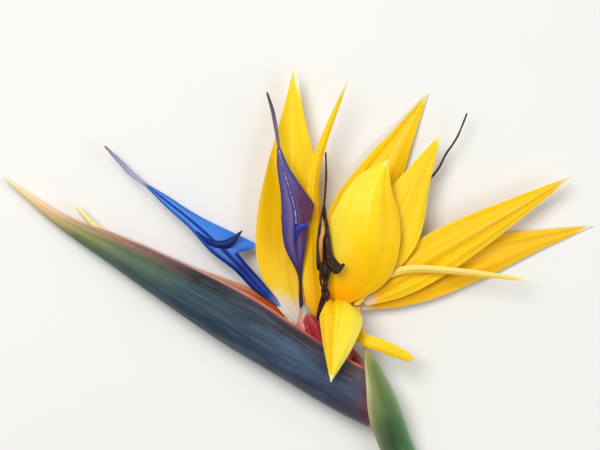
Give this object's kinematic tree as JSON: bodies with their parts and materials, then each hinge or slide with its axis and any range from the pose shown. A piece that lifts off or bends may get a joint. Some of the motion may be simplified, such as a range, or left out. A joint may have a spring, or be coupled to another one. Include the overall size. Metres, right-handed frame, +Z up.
{
  "type": "bird of paradise flower",
  "caption": "Cut bird of paradise flower laid on its side: boat-shaped spathe, fan of pointed yellow sepals, blue arrow petals, sheathed green stem.",
  "frame": {"origin": "centre of the laid flower's bounding box, on the surface that it rests on", "axes": "+Z up from the surface; +Y from the cut end of the stem towards the fan of sepals; +X from the spathe's tip towards the sepal tips on the stem side"},
  "size_m": [0.2492, 0.2654, 0.0284],
  "materials": {
    "stem_green": "smooth waxy green stem, pale cut end",
    "sheath_green": "green leafy bract with fine parallel veins and a tan margin",
    "spathe": "waxy slate green and blue-grey with fine parallel veins, red-pink rim, cream tip",
    "flower_base_cream": "pale, translucent, faintly ribbed",
    "flower_base_pink": "pink, translucent, faintly ribbed",
    "sepal_yellow": "satin fleshy petal, orange towards the base, cream at the tip, fine lengthwise veins",
    "petal_blue": "satin blue petal with lengthwise ridges",
    "petal_purple": "fading violet petal with brown patches",
    "style_lilac": "pale lilac-grey, dusty",
    "dried_brown": "dry, wrinkled, dark brown",
    "bract_pink": "thin red-pink membrane",
    "bud_cream": "smooth cream bud"
  },
  "bodies": {
    "root": {"stem": "stem_green", "stem_sheath": "sheath_green", "spathe": "spathe", "flower_base_1": "flower_base_cream", "flower_base_2": "flower_base_pink", "flower_base_3": "flower_base_pink", "flower_base_4": "flower_base_pink", "sepal_a": "sepal_yellow", "sepal_b": "sepal_yellow", "sepal_c": "sepal_yellow", "sepal_d": "sepal_yellow", "sepal_e": "sepal_yellow", "sepal_f": "sepal_yellow", "sepal_g": "sepal_yellow", "sepal_h": "sepal_yellow", "sepal_i": "sepal_yellow", "sepal_j": "sepal_yellow", "arrow_blue": "petal_blue", "arrow_purple": "petal_purple", "arrow_dried": "dried_brown", "style_blue": "style_lilac", "style_purple": "style_lilac", "style_dried_1": "dried_brown", "style_dried_2": "dried_brown", "inner_bract": "bract_pink", "bud_tip": "bud_cream"}
  },
  "joints": []
}
